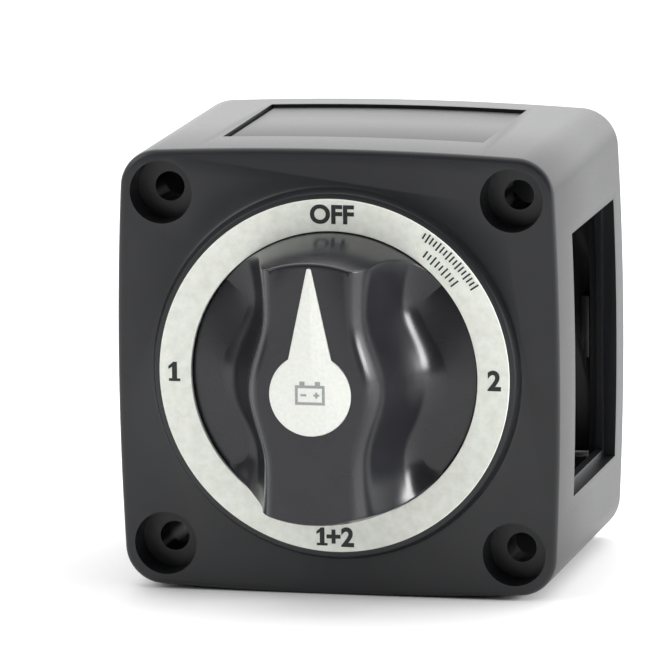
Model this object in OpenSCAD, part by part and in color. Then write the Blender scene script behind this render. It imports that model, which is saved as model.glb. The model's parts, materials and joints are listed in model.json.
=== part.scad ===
// Rotary battery selector switch for a boat: a square moulded case with a pull-off
// knob, a raised label ring, a sealed contact chamber and a rear terminal bay.
// Every part is drawn with its axis along Z, front towards +Z and the rear mounting
// face on Z = 0, and is then stood upright, so that the front looks along -Y.

/* [Case] */
// Width and height of the case across the middle of its sides
face_size = 69.3; // [60:0.1:90]
// Depth of the case from the rear mounting face to the front face
case_depth = 52; // [46:0.5:70]
// Radius of the case's four long corners
corner_r = 6; // [4:0.5:9]
// Radius of the slight outward bow of the four sides
crown_r = 550; // [300:10:2000]
// Thickness of the side walls
wall = 3; // [2.4:0.1:4]
// Thickness of the front plate
front_t = 3; // [2.4:0.1:5]

/* [Side windows] */
// Width of the cable window in each side
window_w = 41; // [30:0.5:44]
// Distance from the front face to the windows
window_setback = 12.4; // [11:0.1:16]
// Distance from the rear face to the windows
window_rear = 6.3; // [5:0.1:10]
// Width of the ledge inside each window that a side plate rests on
ledge_w = 1.2; // [0.8:0.1:2]
// Thickness of the removable side plates
plate_t = 1.6; // [1.2:0.1:1.8]
// How far a side plate lies below the case's surface
plate_recess = 0.5; // [0.3:0.1:0.7]
// Gap all round a side plate
plate_gap = 0.35; // [0.2:0.05:0.6]

/* [Mounting holes] */
// Distance between the mounting holes, both ways
hole_spacing = 54.8; // [50:0.1:57]
// Radius of the mounting holes
hole_r = 2.3; // [2:0.05:2.6]
// Radius of the counterbore over each mounting hole
bore_r = 4.9; // [4:0.1:5.2]
// Depth of the counterbore
bore_depth = 6; // [3:0.5:10]
// Radius of the corner block round each mounting hole
block_r = 6.6; // [6.2:0.1:7.4]

/* [Label ring] */
// Outer radius of the label ring
ring_r = 27.4; // [25:0.1:28]
// Width of the label ring's band
ring_band = 4.74; // [4:0.01:5]
// Height of the label ring's surface above the front face
ring_height = 2.45; // [1.5:0.05:4]
// Thickness of the label ring
ring_t = 0.8; // [0.6:0.1:1.2]

/* [Knob] */
// Height of the handle's flat top above the front face
knob_height = 18.7; // [14:0.1:26]
// Thickness of the knob's base disc
disc_t = 1.9; // [1.5:0.1:2.1]
// Half width of the handle's top in the middle, at the necks and at the ends
handle_top = [9.9, 7.7, 8.0];
// Half width of the handle's foot in the middle, at the necks and at the ends
handle_foot = [14.2, 9.4, 11.8];
// Distance of the necks from the knob's axis
neck_y = 12; // [9:0.5:14]
// Radius of the pointer's round end
pointer_r = 6.35; // [4:0.05:7]
// Half width of the pointer's blade where it leaves the round end
blade_w = 3.35; // [2:0.05:4]
// Distance from the axis to the pointer's tip
blade_tip = 19.4; // [15:0.1:19.5]
// How far the knob pulls off its shaft
knob_travel = 16; // [10:1:20]

/* [Shaft and rotor] */
// Radius of the shaft
shaft_r = 6; // [5:0.1:7]
// Running clearance round the shaft, on the radius
run_gap = 0.05; // [0.02:0.01:0.1]
// Width across the flats at the knob's end of the shaft
shaft_flats = 9.6; // [8:0.1:9.8]
// Radius of the rotor disc
rotor_r = 17.8; // [16:0.1:19]
// Thickness of the rotor disc
rotor_t = 3.2; // [2.8:0.1:4]
// Half angle of the moving contact's sector, in degrees
sector_half = 55; // [50:1:60]

/* [Terminals] */
// Radius of the terminal studs, 3/8 inch
stud_r = 4.76; // [4:0.01:5.2]
// Length of each stud behind the contact base
stud_length = 22.2; // [20:0.1:26]
// How far a stud's contact head reaches past its shank
head_lip = 1.6; // [1.2:0.1:2]
// Angle of studs 1 and 2 below the horizontal, in degrees
stud_angle = 38; // [34:1:44]
// Thickness of the terminal nuts
nut_t = 8; // [6:0.5:9]
// Width across the flats of the terminal nuts
nut_flats = 14.3; // [13:0.1:15]

/* [Inside] */
// Thickness of the contact base
base_t = 3.4; // [3:0.1:5]
// Inner radius of the contact chamber
chamber_r = 24.5; // [23:0.1:25]
// Thickness of the chamber's round wall
chamber_wall = 2; // [1.6:0.1:2.4]
// Thickness of the fixed contacts
contact_t = 2; // [1.5:0.1:2.4]
// Thickness of the moving contact
blade_t = 1.6; // [1.2:0.1:2]
// Thickness of the back cover
cover_t = 2.4; // [2:0.1:3]

/* [Hidden] */
$fn = 64;

// Small overshoot of a cutter past the face it cuts
over = 1;
half = face_size / 2;
hole_at = hole_spacing / 2;
window_z0 = window_rear;
window_z1 = case_depth - window_setback;
ring_inner_r = ring_r - ring_band;
ring_z1 = case_depth + ring_height;
inner_z = case_depth - front_t;

// Levels inside the case, from the windows' front edge forwards
base_z1 = window_z1;
base_z0 = base_z1 - base_t;
gasket_t = 0.6;
chamber_z0 = base_z1 + gasket_t;
contact_z1 = base_z1 + contact_t;
blade_z0 = contact_z1 + run_gap;
blade_z1 = blade_z0 + blade_t;
washer_t = 0.55;
washer_z0 = inner_z - run_gap - washer_t;
rotor_z1 = washer_z0;
rotor_z0 = rotor_z1 - rotor_t;
pocket_z1 = rotor_z1 - 1.4;
pilot_r = 3;
pilot_z0 = base_z0 + 1.2;
drive_w = 9.6;
drive_gap = 0.1;

// The knob's base disc lies inside the label ring, and the handle stands on it
disc_gap = 0.3;
disc_r = ring_inner_r - 0.36;
disc_z0 = case_depth + disc_gap;
disc_z1 = disc_z0 + disc_t;
handle_z1 = case_depth + knob_height;
handle_foot_r = disc_r - 0.4;
handle_top_r = handle_foot_r - 1.8;
handle_edge = 0.6;
socket_roof = 4.4;
shaft_z1 = handle_z1 - socket_roof;
socket_gap = 0.1;
flats_z0 = disc_z1 + 0.4;
inlay_depth = 0.9;
inlay_gap = 0.05;
inlay_proud = 0.1;
blade_tip_r = 0.4;

seal_r = 0.55;
groove_r = shaft_r - 2 * seal_r;
groove_z = inner_z + front_t / 2;

head_r = stud_r + head_lip;
stud_at = chamber_r - head_r - 0.3;
stud_places = [for (a = [90, 180 + stud_angle, -stud_angle]) stud_at * [cos(a), sin(a)]];
stud_tip_z = base_z0 - stud_length;
shank_r = stud_r - 0.46;
flat_t = 1.6;
lock_t = 2.2;
flat_r = stud_r + 5.4;
lock_r = stud_r + 3.8;
nut_z1 = base_z0 - flat_t - lock_t;
nut_z0 = nut_z1 - nut_t;
hub_r = 9;
hub_hole_r = 4.5;
sector_r = 21.5;

screw_x = 12;
screw_y = half - wall - 3.3;
screw_places = [for (sx = [-1, 1], sy = [-1, 1]) [sx * screw_x, sy * screw_y]];
screw_r = 1.5;
screw_head_r = 2.6;
screw_head_t = 2;
screw_length = 9.5;
boss_r = 3.2;

notch_r = 2.1;
notch_at = rotor_r + 1.1;
spring_r = 2.2;
spring_wire = 0.35;
spring_turns = 3;
spring_at = 12.6;
spring_places = [for (a = [55, 90, 125]) spring_at * [cos(a), sin(a)]];

clip_wire = 0.5;
clip_gap = 0.15;
clip_z = shaft_z1 - 3;
clip_r = shaft_r + clip_gap + 2 * clip_wire;

cover_gap = 0.2;
cover_ledge = 1.2;
cover_seat = 0.1;
tongue_w = 10;
tongue_t = 1.4;
lug_t = 1.2;
lug_half = 7;
lug_reach = 0.9;

// Steps in each bowed side and corner arc of the case, each side and end of the
// handle, and each turn of a coil spring, and the sides of its wire
ARC_STEPS = 10;
SIDE_STEPS = 14;
END_STEPS = 6;
SPRING_STEPS = 14;
WIRE_SIDES = 6;

// Centre of a corner arc that runs smoothly into the bowed sides at its ends
function corner_centre(w, bow, r) =
    (w - bow + sqrt(2 * pow(bow - r, 2) - pow(bow - w, 2))) / 2;

// Outline of the case, moved inwards by inset: four bowed sides and four corner arcs
function case_outline(inset) =
    let (
        w = half - inset,
        bow = crown_r - inset,
        r = max(corner_r - inset, 0.5),
        c = corner_centre(w, bow, r),
        turn = atan2(c, c + bow - w)
    )
    [for (side = [0:3])
        let (a = side * 90)
        each concat(
            [for (i = [0:ARC_STEPS - 1])
                let (b = -turn + 2 * turn * i / ARC_STEPS)
                turned([w - bow + bow * cos(b), bow * sin(b)], a)],
            [for (i = [0:ARC_STEPS - 1])
                let (b = turn + (90 - 2 * turn) * i / ARC_STEPS)
                turned([c + r * cos(b), c + r * sin(b)], a)]
        )];

function turned(p, a) = [p.x * cos(a) - p.y * sin(a), p.x * sin(a) + p.y * cos(a)];

module case_prism(inset, z0, z1) {
    translate([0, 0, z0])
        linear_extrude(z1 - z0)
            polygon(case_outline(inset));
}

// Stands a part upright: its front, drawn towards +Z, ends up towards -Y
module upright() {
    rotate([90, 0, 0]) children();
}

module rod(r, z0, z1) {
    translate([0, 0, z0]) cylinder(r = r, h = z1 - z0);
}

module tube(r_in, r_out, z0, z1) {
    difference() {
        rod(r_out, z0, z1);
        rod(r_in, z0 - over, z1 + over);
    }
}

module block(x0, x1, y0, y1, z0, z1) {
    translate([x0, y0, z0]) cube([x1 - x0, y1 - y0, z1 - z0]);
}

module at_corners() {
    for (sx = [-1, 1], sy = [-1, 1])
        translate([sx * hole_at, sy * hole_at, 0]) children();
}

module at_places(places) {
    for (p = places) translate([p.x, p.y, 0]) children();
}

// A box over one side's window, from inside the wall outwards, grown by extra
module window_box(extra, from_inset) {
    block(
        -window_w / 2 - extra, window_w / 2 + extra,
        half - from_inset, half + over,
        window_z0 - extra, window_z1 + extra
    );
}

// Window through one side: the full opening down to the ledge, then the smaller one
module window_cut() {
    intersection() {
        window_box(0, wall + over);
        difference() {
            case_prism(-over, window_z0 - over, window_z1 + over);
            case_prism(plate_recess + plate_t, window_z0 - 2 * over, window_z1 + 2 * over);
        }
    }
    window_box(-ledge_w, wall + over);
}

// ---------------------------------------------------------------- case

module case() {
    color("dimgray") upright() difference() {
        union() {
            case_shell();
            corner_blocks(0, window_z0);
            corner_blocks(base_z1, case_depth);
            tube(chamber_r, chamber_r + chamber_wall, chamber_z0, inner_z);
            at_places(screw_places) rod(boss_r, base_z1, inner_z);
            ring_boss();
        }
        for (a = [0:90:270]) rotate(a) window_cut();
        at_corners() {
            rod(hole_r, -over, case_depth + over);
            rod(bore_r, case_depth - bore_depth, case_depth + over);
        }
        rod(shaft_r + run_gap, inner_z - over, case_depth + over);
        at_places(screw_places) rod(screw_r + 0.02, base_z1 - over, inner_z - 0.8);
    }
}

// Four walls and the front plate, with a ledge near the rear that the back cover
// lies against
module case_shell() {
    cover_z = cover_t + cover_seat;
    difference() {
        case_prism(0, 0, case_depth);
        case_prism(wall, -over, cover_z);
        case_prism(wall + cover_ledge, cover_z - over, window_z0 + over);
        case_prism(wall, window_z0, inner_z);
    }
}

module corner_blocks(z0, z1) {
    intersection() {
        at_corner_posts(0, z0, z1);
        case_prism(0.5, z0, z1);
    }
}

// A post round each mounting hole that reaches to both walls of its corner
module at_corner_posts(grow, z0, z1) {
    reach = half - wall / 2 - hole_at;
    side = block_r + grow;
    at_corners() rod(side, z0, z1);
    for (a = [0:90:270]) rotate(a) translate([hole_at, hole_at, 0]) {
        block(0, reach, -side, 0.5, z0, z1);
        block(-side, 0.5, 0, reach, z0, z1);
        block(0, reach, 0, reach, z0, z1);
    }
}

// Raised round boss with a sloped side and a groove for the label ring
module ring_boss() {
    rim = 0.5;
    slope = 1.3;
    difference() {
        translate([0, 0, case_depth - 0.5])
            cylinder(
                r1 = ring_r + rim + slope * (ring_height + 0.35) / (ring_height - 0.15),
                r2 = ring_r + rim,
                h = ring_height + 0.35
            );
        rod(ring_inner_r, case_depth, ring_z1 + over);
        rod(ring_r, ring_z1 - ring_t, ring_z1 + over);
    }
}

module label_ring() {
    color("ivory") upright()
        tube(ring_inner_r, ring_r, ring_z1 - ring_t, ring_z1);
}

// ---------------------------------------------------------------- contact base

module contact_base() {
    pocket_r = shank_r + 1.3;
    color("#2b2b2e") upright() difference() {
        case_prism(wall + 0.25, base_z0, base_z1);
        at_corner_posts(0.3, base_z0 - over, base_z1 + over);
        at_places(stud_places) {
            rod(shank_r + 0.04, base_z0 - over, base_z1 + over);
            rod(pocket_r, base_z1 - 1.1, base_z1 + over);
        }
        at_places(screw_places) rod(screw_r + 0.1, base_z0 - over, base_z1 + over);
        rod(pilot_r + run_gap, pilot_z0 - 0.2, base_z1 + over);
    }
}

module chamber_gasket() {
    color("#1c1c1c") upright()
        tube(chamber_r + 0.1, chamber_r + chamber_wall - 0.1, base_z1, chamber_z0);
}

module base_screws() {
    slot_w = 0.7;
    color("silver") upright() at_places(screw_places) difference() {
        union() {
            rod(screw_r, base_z0, base_z0 + screw_length);
            rod(screw_head_r, base_z0 - screw_head_t, base_z0);
        }
        for (a = [0, 90]) rotate(a)
            block(-1.7, 1.7, -slot_w / 2, slot_w / 2, base_z0 - screw_head_t - over, base_z0 - 0.9);
    }
}

// ---------------------------------------------------------------- terminals

// A stud: a bevelled tip, a threaded end that stands free behind the nut for the
// cable lugs, a slightly thinner shank and a flat contact head
module stud() {
    tip = 0.8;
    translate([0, 0, stud_tip_z]) cylinder(r1 = stud_r - tip, r2 = stud_r, h = tip);
    rod(stud_r, stud_tip_z + tip, nut_z0);
    rod(shank_r, nut_z0 - 0.5, base_z1 + contact_t / 2);
    rod(head_r, base_z1, contact_z1);
}

// The common stud carries a strap and a ring round the shaft's axis
module stud_common() {
    strap_w = 9;
    color("#c9c4b8") upright() difference() {
        union() {
            at_places([stud_places[0]]) stud();
            block(-strap_w / 2, strap_w / 2, hub_hole_r + 1, stud_at, base_z1, contact_z1);
            rod(hub_r, base_z1, contact_z1);
        }
        rod(hub_hole_r, base_z1 - over, contact_z1 + over);
    }
}

module stud_one() {
    color("#c9c4b8") upright() at_places([stud_places[1]]) stud();
}

module stud_two() {
    color("#c9c4b8") upright() at_places([stud_places[2]]) stud();
}

module o_ring(r_middle, r_wire, z) {
    translate([0, 0, z]) rotate_extrude() translate([r_middle, 0]) circle(r = r_wire, $fn = 24);
}

module stud_seals() {
    wire = 0.5;
    color("#1c1c1c") upright() at_places(stud_places)
        o_ring(shank_r + 0.1 + wire, wire, base_z1 - wire - 0.05);
}

module flat_washers() {
    color("silver") upright() at_places(stud_places)
        tube(stud_r + 0.25, flat_r, base_z0 - flat_t, base_z0);
}

module lock_washers() {
    split_w = 1;
    color("silver") upright() at_places(stud_places) difference() {
        tube(stud_r + 0.2, lock_r, nut_z1, nut_z1 + lock_t);
        block(0, lock_r + over, -split_w / 2, split_w / 2, nut_z1 - over, nut_z1 + lock_t + over);
    }
}

module terminal_nuts() {
    color("silver") upright() at_places(stud_places) difference() {
        translate([0, 0, nut_z0])
            cylinder(r = nut_flats / sqrt(3), h = nut_t, $fn = 6);
        rod(shank_r + 0.05, nut_z0 - over, nut_z1 + over);
    }
}

// ---------------------------------------------------------------- rotor

module rotor_shaft() {
    flat_cut = shaft_r + over;
    color("#3a3a3d") upright() difference() {
        union() {
            rod(pilot_r, pilot_z0, rotor_z0 + 0.5);
            block(-drive_w / 2, drive_w / 2, -drive_w / 2, drive_w / 2, blade_z0 + 0.05, rotor_z0 + 0.5);
            rod(rotor_r, rotor_z0, rotor_z1);
            rod(shaft_r, rotor_z1 - 0.5, shaft_z1);
        }
        for (a = [0:90:270]) rotate(a)
            translate([notch_at, 0, 0]) rod(notch_r, rotor_z0 - over, rotor_z1 + over);
        at_places(spring_places) rod(spring_r + 0.5, rotor_z0 - over, pocket_z1);
        tube(groove_r, shaft_r + over, groove_z - seal_r - 0.1, groove_z + seal_r + 0.1);
        for (s = [-1, 1])
            translate([-flat_cut, s > 0 ? shaft_flats / 2 : -shaft_flats / 2 - flat_cut, flats_z0])
                cube([2 * flat_cut, flat_cut, shaft_z1 - flats_z0 + over]);
    }
}

module shaft_o_ring() {
    color("#1c1c1c") upright() o_ring(groove_r + seal_r, seal_r, groove_z);
}

module thrust_washer() {
    color("white") upright() tube(shaft_r + 0.1, shaft_r + 5, washer_z0, washer_z0 + washer_t);
}

// Copper blade: a hub that always lies on the common ring, and a sector that
// sweeps over the heads of studs 1 and 2
module moving_contact() {
    reach = 2 * sector_r;
    color("#b87333") upright() difference() {
        union() {
            rod(hub_r, blade_z0, blade_z1);
            intersection() {
                rod(sector_r, blade_z0, blade_z1);
                translate([0, 0, blade_z0]) linear_extrude(blade_t)
                    polygon([
                        [0, 0],
                        reach * [sin(sector_half), cos(sector_half)],
                        [0, reach],
                        reach * [-sin(sector_half), cos(sector_half)],
                    ]);
            }
        }
        translate([-drive_w / 2 - drive_gap, -drive_w / 2 - drive_gap, blade_z0 - over])
            cube([drive_w + 2 * drive_gap, drive_w + 2 * drive_gap, blade_t + 2 * over]);
    }
}

// A coil spring between two levels: rings of points along a helix, joined by faces
module coil(r, wire, z0, z1, turns) {
    rings = turns * SPRING_STEPS;
    rise = (z1 - z0 - 2 * wire) / rings;
    points = [for (i = [0:rings], k = [0:WIRE_SIDES - 1])
        let (a = 360 * i / SPRING_STEPS, b = 360 * k / WIRE_SIDES)
        [
            (r + wire * cos(b)) * cos(a),
            (r + wire * cos(b)) * sin(a),
            z0 + wire + i * rise + wire * sin(b),
        ]];
    walls = [for (i = [0:rings - 1], k = [0:WIRE_SIDES - 1])
        let (n = (k + 1) % WIRE_SIDES, p = i * WIRE_SIDES, q = p + WIRE_SIDES)
        [p + k, p + n, q + n, q + k]];
    first = [for (k = [WIRE_SIDES - 1:-1:0]) k];
    last = [for (k = [0:WIRE_SIDES - 1]) rings * WIRE_SIDES + k];
    polyhedron(points = points, faces = concat(walls, [first, last]));
}

module contact_springs() {
    color("lightsteelblue") upright() at_places(spring_places)
        coil(spring_r, spring_wire, blade_z1 + 0.05, pocket_z1 - 0.05, spring_turns);
}

// Two bowed leaf springs whose ends bear on the chamber wall and whose middles
// drop into the rotor's notches
module detent_springs() {
    leaf_half = 11.4;
    leaf_t = 0.5;
    bow = 1;
    bump_r = notch_r - 0.4;
    leaf_x = notch_at + 1;
    z0 = rotor_z0 + 0.4;
    z1 = rotor_z1 - 0.3;
    steps = 12;
    edge = [for (i = [0:steps])
        let (y = -leaf_half + 2 * leaf_half * i / steps)
        [leaf_x + bow * pow(y / leaf_half, 2), y]];
    back = [for (i = [steps:-1:0]) edge[i] + [leaf_t, 0]];
    color("lightsteelblue") upright() for (a = [0, 180]) rotate(a) union() {
        translate([0, 0, z0]) linear_extrude(z1 - z0) polygon(concat(edge, back));
        translate([notch_at, 0, 0]) rod(bump_r, z0, z1);
    }
}

// ---------------------------------------------------------------- knob

// Half width of the handle at height share t, from 0 at its foot to 1 at its top
function handle_widths(t) = handle_top + (handle_foot - handle_top) * pow(1 - t, 2.2);

// Half width at y: a hub in the middle, a neck each side of it, wider at the ends
function handle_half(y, w, y_end) =
    abs(y) < neck_y
        ? w[1] + (w[0] - w[1]) * pow(cos(90 * y / neck_y), 2)
        : w[1] + (w[2] - w[1]) * pow((abs(y) - neck_y) / (y_end - neck_y), 2);

// One level of the handle: its right side, far end, left side and near end
function handle_level(t, inset) =
    let (
        w = handle_widths(t),
        r = handle_foot_r + (handle_top_r - handle_foot_r) * t - inset,
        y_end = sqrt(r * r - pow(w[2] - inset, 2)),
        a_end = atan2(y_end, w[2] - inset),
        side = [for (i = [0:SIDE_STEPS - 1])
            let (y = -y_end + 2 * y_end * i / SIDE_STEPS)
            [handle_half(y, w, y_end) - inset, y]],
        end = [for (i = [0:END_STEPS - 1])
            let (a = a_end + (180 - 2 * a_end) * i / END_STEPS)
            [r * cos(a), r * sin(a)]]
    )
    concat(side, end, -side, -end);

module handle_solid() {
    heights = [0, 0.08, 0.2, 0.4, 0.7, 1 - handle_edge / (handle_z1 - disc_z1), 1];
    insets = [0, 0, 0, 0, 0, 0, handle_edge];
    z0 = disc_z1 - 0.5;
    count = 2 * (SIDE_STEPS + END_STEPS);
    levels = len(heights);
    points = [for (j = [0:levels - 1])
        let (t = heights[j], level = handle_level(t, insets[j]))
        for (p = level) [p.x, p.y, j == 0 ? z0 : disc_z1 + (handle_z1 - disc_z1) * t]];
    middle_low = levels * count;
    walls = [for (j = [0:levels - 2], k = [0:count - 1])
        let (n = (k + 1) % count, p = j * count, q = p + count)
        each [[p + k, q + k, q + n], [p + k, q + n, p + n]]];
    floor_fan = [for (k = [0:count - 1]) [middle_low, k, (k + 1) % count]];
    roof_fan = [for (k = [0:count - 1])
        let (p = (levels - 1) * count)
        [middle_low + 1, p + (k + 1) % count, p + k]];
    polyhedron(
        points = concat(points, [[0, 0, z0], [0, 0, handle_z1]]),
        faces = concat(walls, floor_fan, roof_fan)
    );
}

// Flat shape of the pointer: a round end and a blade that tapers to a rounded tip
module pointer_shape(grow) {
    root_y = sqrt(pow(pointer_r, 2) - pow(blade_w, 2));
    tip_y = blade_tip - blade_tip_r;
    circle(r = pointer_r + grow);
    polygon([
        [-blade_w - grow, root_y - 1], [blade_w + grow, root_y - 1],
        [blade_tip_r + grow, tip_y], [-blade_tip_r - grow, tip_y],
    ]);
    translate([0, tip_y - grow]) circle(r = blade_tip_r + grow);
}

module knob_handle() {
    socket_r = shaft_r + socket_gap;
    flat = shaft_flats / 2 + socket_gap;
    color("#313134") upright() difference() {
        union() {
            rod(disc_r, disc_z0, disc_z1);
            handle_solid();
        }
        intersection() {
            rod(socket_r, disc_z0 - over, shaft_z1 + 0.3);
            block(-socket_r, socket_r, -flat, flat, flats_z0 - 0.2, shaft_z1 + 0.3);
        }
        rod(socket_r, disc_z0 - over, flats_z0);
        tube(shaft_r, clip_r + 0.1, clip_z - 0.1 - clip_wire, clip_z + clip_wire + 0.1);
        translate([0, 0, handle_z1 - inlay_depth])
            linear_extrude(inlay_depth + over) pointer_shape(inlay_gap);
    }
}

module knob_pointer() {
    color("white") upright()
        translate([0, 0, handle_z1 - inlay_depth])
            linear_extrude(inlay_depth + inlay_proud) pointer_shape(0);
}

// Open wire ring in a groove of the knob's socket, which grips the shaft
module knob_clip() {
    color("lightsteelblue") upright() translate([0, 0, clip_z])
        rotate([0, 0, 20]) rotate_extrude(angle = 320)
            translate([clip_r - clip_wire, 0]) circle(r = clip_wire, $fn = 16);
}

// ---------------------------------------------------------------- covers

module back_cover() {
    inset = wall + cover_gap;
    tongue_y = half - wall - cover_ledge - cover_gap;
    pry_w = 9;
    color("dimgray") upright() difference() {
        union() {
            case_prism(inset, 0, cover_t);
            for (a = [0:90:270]) rotate(a)
                block(-tongue_w / 2, tongue_w / 2, tongue_y - tongue_t, tongue_y,
                    cover_t - 0.5, window_z0 - 0.3);
        }
        at_corner_posts(cover_gap, -over, cover_t + over);
        block(-pry_w / 2, pry_w / 2, half - inset - 1.4, half, -over, 1.1);
    }
}

// Plate that fills the window in the top side, bowed like the case, with a snap lug
// behind each end
module side_plate() {
    lug_x = window_w / 2 - ledge_w - plate_gap;
    lug_y = half - wall - lug_reach;
    lug_z = (window_z0 + window_z1) / 2;
    intersection() {
        window_box(-plate_gap, wall + over);
        difference() {
            case_prism(plate_recess, window_z0, window_z1);
            case_prism(plate_recess + plate_t, window_z0 - over, window_z1 + over);
        }
    }
    for (x = [-lug_x, lug_x - lug_t])
        block(x, x + lug_t, lug_y, half - plate_recess - 1, lug_z - lug_half, lug_z + lug_half);
}

module top_side_plate() {
    color("dimgray") upright() side_plate();
}

module left_side_plate() {
    color("dimgray") upright() rotate(90) side_plate();
}

module bottom_side_plate() {
    color("dimgray") upright() rotate(180) side_plate();
}

case();
label_ring();
contact_base();
chamber_gasket();
base_screws();
stud_common();
stud_one();
stud_two();
stud_seals();
flat_washers();
lock_washers();
terminal_nuts();
detent_springs();
rotor_shaft();
shaft_o_ring();
thrust_washer();
moving_contact();
contact_springs();
knob_handle();
knob_pointer();
knob_clip();
back_cover();
top_side_plate();
left_side_plate();
bottom_side_plate();
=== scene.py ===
import json
import math
import bpy
from mathutils import Matrix, Vector

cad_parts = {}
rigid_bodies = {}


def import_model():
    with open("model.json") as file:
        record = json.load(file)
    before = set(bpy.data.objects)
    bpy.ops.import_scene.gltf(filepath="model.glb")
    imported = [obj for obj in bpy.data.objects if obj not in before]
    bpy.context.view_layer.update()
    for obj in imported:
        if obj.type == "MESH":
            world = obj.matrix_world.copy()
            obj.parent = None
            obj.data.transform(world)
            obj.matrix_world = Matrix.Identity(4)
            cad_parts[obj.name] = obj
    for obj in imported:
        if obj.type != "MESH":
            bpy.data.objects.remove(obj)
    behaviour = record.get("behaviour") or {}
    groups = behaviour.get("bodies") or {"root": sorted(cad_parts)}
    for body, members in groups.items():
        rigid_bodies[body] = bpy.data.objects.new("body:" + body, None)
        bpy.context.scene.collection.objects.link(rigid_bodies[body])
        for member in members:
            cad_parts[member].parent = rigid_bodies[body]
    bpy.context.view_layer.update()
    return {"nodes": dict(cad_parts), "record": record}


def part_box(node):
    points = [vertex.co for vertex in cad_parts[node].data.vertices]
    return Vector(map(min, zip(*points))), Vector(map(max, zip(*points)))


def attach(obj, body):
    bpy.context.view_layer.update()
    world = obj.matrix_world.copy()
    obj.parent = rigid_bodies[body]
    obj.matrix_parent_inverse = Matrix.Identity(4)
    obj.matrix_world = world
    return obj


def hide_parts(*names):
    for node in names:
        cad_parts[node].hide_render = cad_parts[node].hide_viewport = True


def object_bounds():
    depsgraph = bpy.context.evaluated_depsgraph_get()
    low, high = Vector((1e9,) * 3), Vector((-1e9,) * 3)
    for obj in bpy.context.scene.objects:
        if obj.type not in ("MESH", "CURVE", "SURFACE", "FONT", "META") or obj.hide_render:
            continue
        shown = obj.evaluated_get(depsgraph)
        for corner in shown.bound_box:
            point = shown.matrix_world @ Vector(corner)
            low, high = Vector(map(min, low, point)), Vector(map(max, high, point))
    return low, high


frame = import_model()

# ------------------------------------------------------------------ case
# The moulded box that carries everything: bowed sides, four counterbored corner
# holes, a window in each side and a raised round boss on the front. It is injection
# moulded in one piece, with a fine spark-eroded grain.

# Each piece is modelled in millimetres, lying on its back with its front upwards, as
# it comes out of its mould, and is then stood upright at the frame's scale.
MM = 0.001
UPRIGHT = Matrix.Rotation(math.radians(90), 4, "X") @ Matrix.Scale(MM, 4)


def corner(node, which):
    """A CAD node's lowest (0) or highest (1) corner in mm: right, up and front."""
    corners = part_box(node)
    return Vector((corners[which].x, corners[which].z, -corners[1 - which].y)) / MM


def only(piece):
    """Selects one piece alone and makes it the one that operators act on."""
    bpy.ops.object.select_all(action="DESELECT")
    piece.select_set(True)
    bpy.context.view_layer.objects.active = piece


def loft(name, rings, closed=False):
    """Skins rings of points that have the same count each, and closes the ends."""
    bpy.ops.object.select_all(action="DESELECT")
    count = len(rings[0])
    rows = rings + rings[:1] if closed else rings
    bpy.ops.mesh.primitive_grid_add(x_subdivisions=count, y_subdivisions=len(rows) - 1)
    piece = bpy.context.object
    piece.name = name
    for vertex in piece.data.vertices:
        row, place = divmod(vertex.index, count + 1)
        vertex.co = rows[row][place % count]
    bpy.ops.object.mode_set(mode="EDIT")
    bpy.ops.mesh.select_all(action="SELECT")
    bpy.ops.mesh.remove_doubles(threshold=1e-4)
    bpy.ops.mesh.select_all(action="DESELECT")
    if not closed:
        bpy.ops.mesh.select_mode(type="EDGE")
        bpy.ops.mesh.select_non_manifold(extend=False)
        bpy.ops.mesh.edge_face_add()
    bpy.ops.mesh.select_all(action="SELECT")
    bpy.ops.mesh.normals_make_consistent(inside=False)
    bpy.ops.object.mode_set(mode="OBJECT")
    return piece


def turned(name, profile, steps=96):
    """Spins a closed profile of (radius, height) points once round the axis."""
    bpy.ops.object.select_all(action="DESELECT")
    bpy.ops.mesh.primitive_circle_add(vertices=len(profile), fill_type="NOTHING")
    piece = bpy.context.object
    piece.name = name
    for vertex, (radius, height) in zip(piece.data.vertices, profile):
        vertex.co = (radius, 0, height)
    bpy.ops.object.mode_set(mode="EDIT")
    bpy.ops.mesh.select_all(action="SELECT")
    bpy.ops.mesh.spin(steps=steps, angle=math.tau, center=(0, 0, 0), axis=(0, 0, 1))
    bpy.ops.mesh.select_all(action="SELECT")
    bpy.ops.mesh.remove_doubles(threshold=1e-4)
    bpy.ops.mesh.normals_make_consistent(inside=False)
    bpy.ops.object.mode_set(mode="OBJECT")
    return piece


def rod(name, radius, z0, z1, at=(0, 0), sides=64):
    bpy.ops.object.select_all(action="DESELECT")
    bpy.ops.mesh.primitive_cylinder_add(
        vertices=sides, radius=radius, depth=z1 - z0, location=(at[0], at[1], (z0 + z1) / 2)
    )
    piece = bpy.context.object
    piece.name = name
    bpy.ops.object.transform_apply()
    return piece


def block(name, low, high):
    bpy.ops.object.select_all(action="DESELECT")
    bpy.ops.mesh.primitive_cube_add(size=1, location=[(a + b) / 2 for a, b in zip(low, high)])
    piece = bpy.context.object
    piece.name = name
    piece.scale = [b - a for a, b in zip(low, high)]
    bpy.ops.object.transform_apply()
    return piece


def with_modifier(piece, kind, **settings):
    """Adds a modifier, sets it and applies it."""
    only(piece)
    modifier = piece.modifiers.new(kind.lower(), kind)
    for key, value in settings.items():
        setattr(modifier, key, value)
    bpy.ops.object.modifier_apply(modifier=modifier.name)
    return piece


def cut(piece, cutter, how="DIFFERENCE"):
    with_modifier(piece, "BOOLEAN", object=cutter, operation=how, solver="EXACT")
    bpy.data.objects.remove(cutter)
    return piece


def rounded(piece, width, angle=40, segments=3):
    """Rounds the edges sharper than an angle."""
    return with_modifier(
        piece, "BEVEL", width=width, segments=segments, limit_method="ANGLE",
        angle_limit=math.radians(angle), use_clamp_overlap=True, miter_outer="MITER_ARC",
    )


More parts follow.
